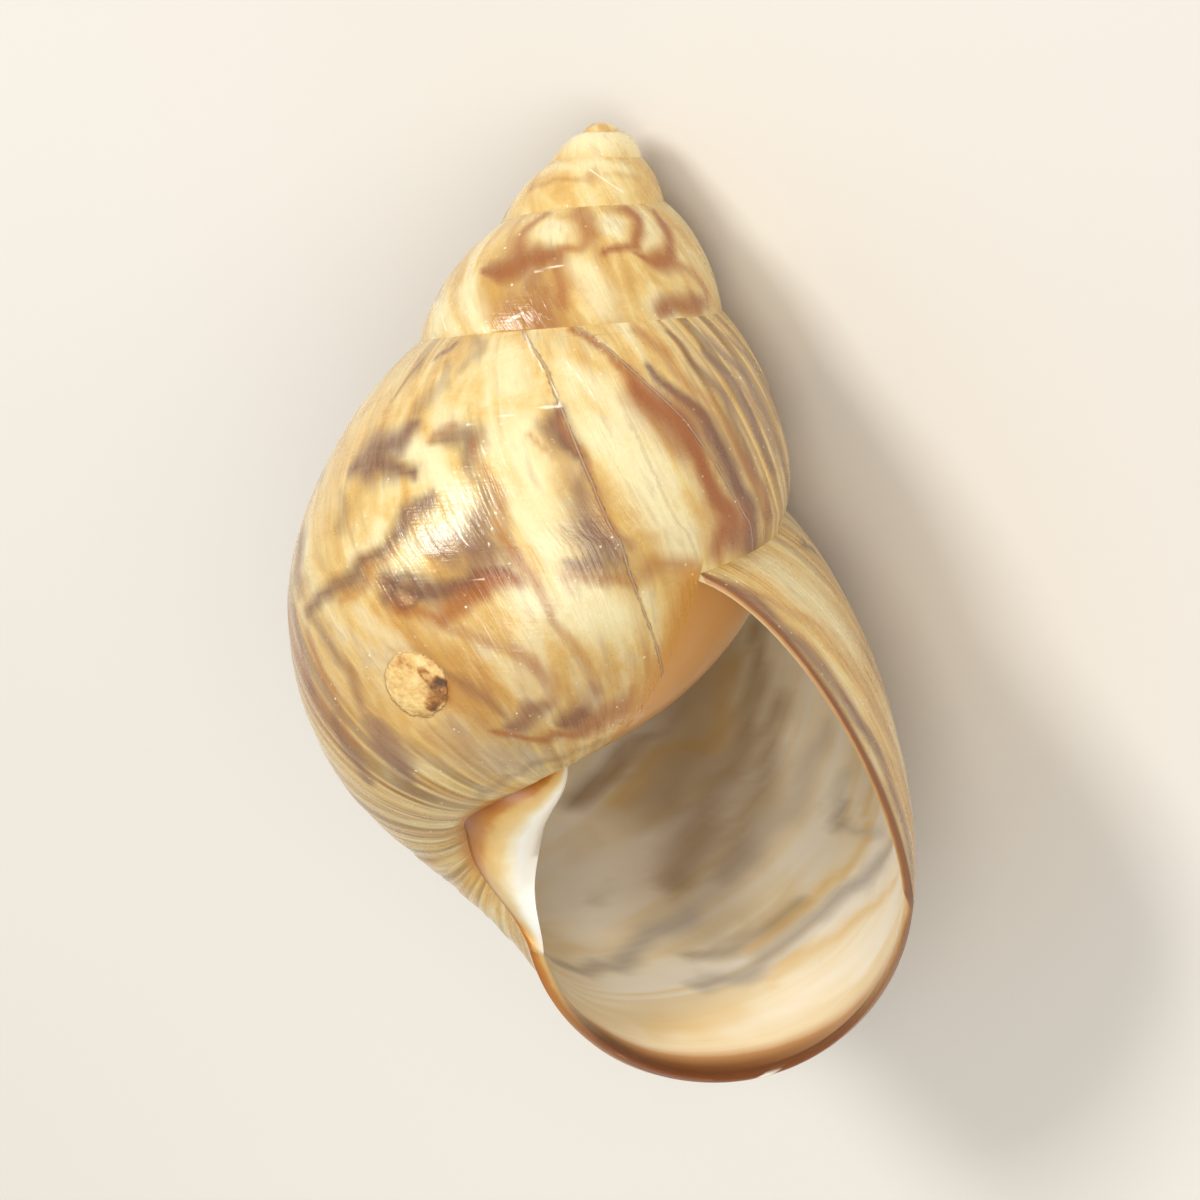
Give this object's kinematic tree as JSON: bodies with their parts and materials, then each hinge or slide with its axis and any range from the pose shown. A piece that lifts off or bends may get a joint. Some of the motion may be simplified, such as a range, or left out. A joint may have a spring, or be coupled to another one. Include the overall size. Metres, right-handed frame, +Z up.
{
  "type": "tree snail shell",
  "caption": "Empty right-handed land snail shell: pointed spiral spire, swollen last whorl and a wide open mouth, lying on its back.",
  "frame": {"origin": "centre of the shell's footprint box, on the ground it lies on", "axes": "+Y from the mouth's end towards the spire's tip, +Z up, +X to the outer lip's side; the mouth opens towards +X, +Y and +Z"},
  "size_m": [0.0416, 0.059, 0.0328],
  "materials": {
    "shell": "gloss"
  },
  "bodies": {
    "root": {"shell": "shell"}
  },
  "joints": []
}
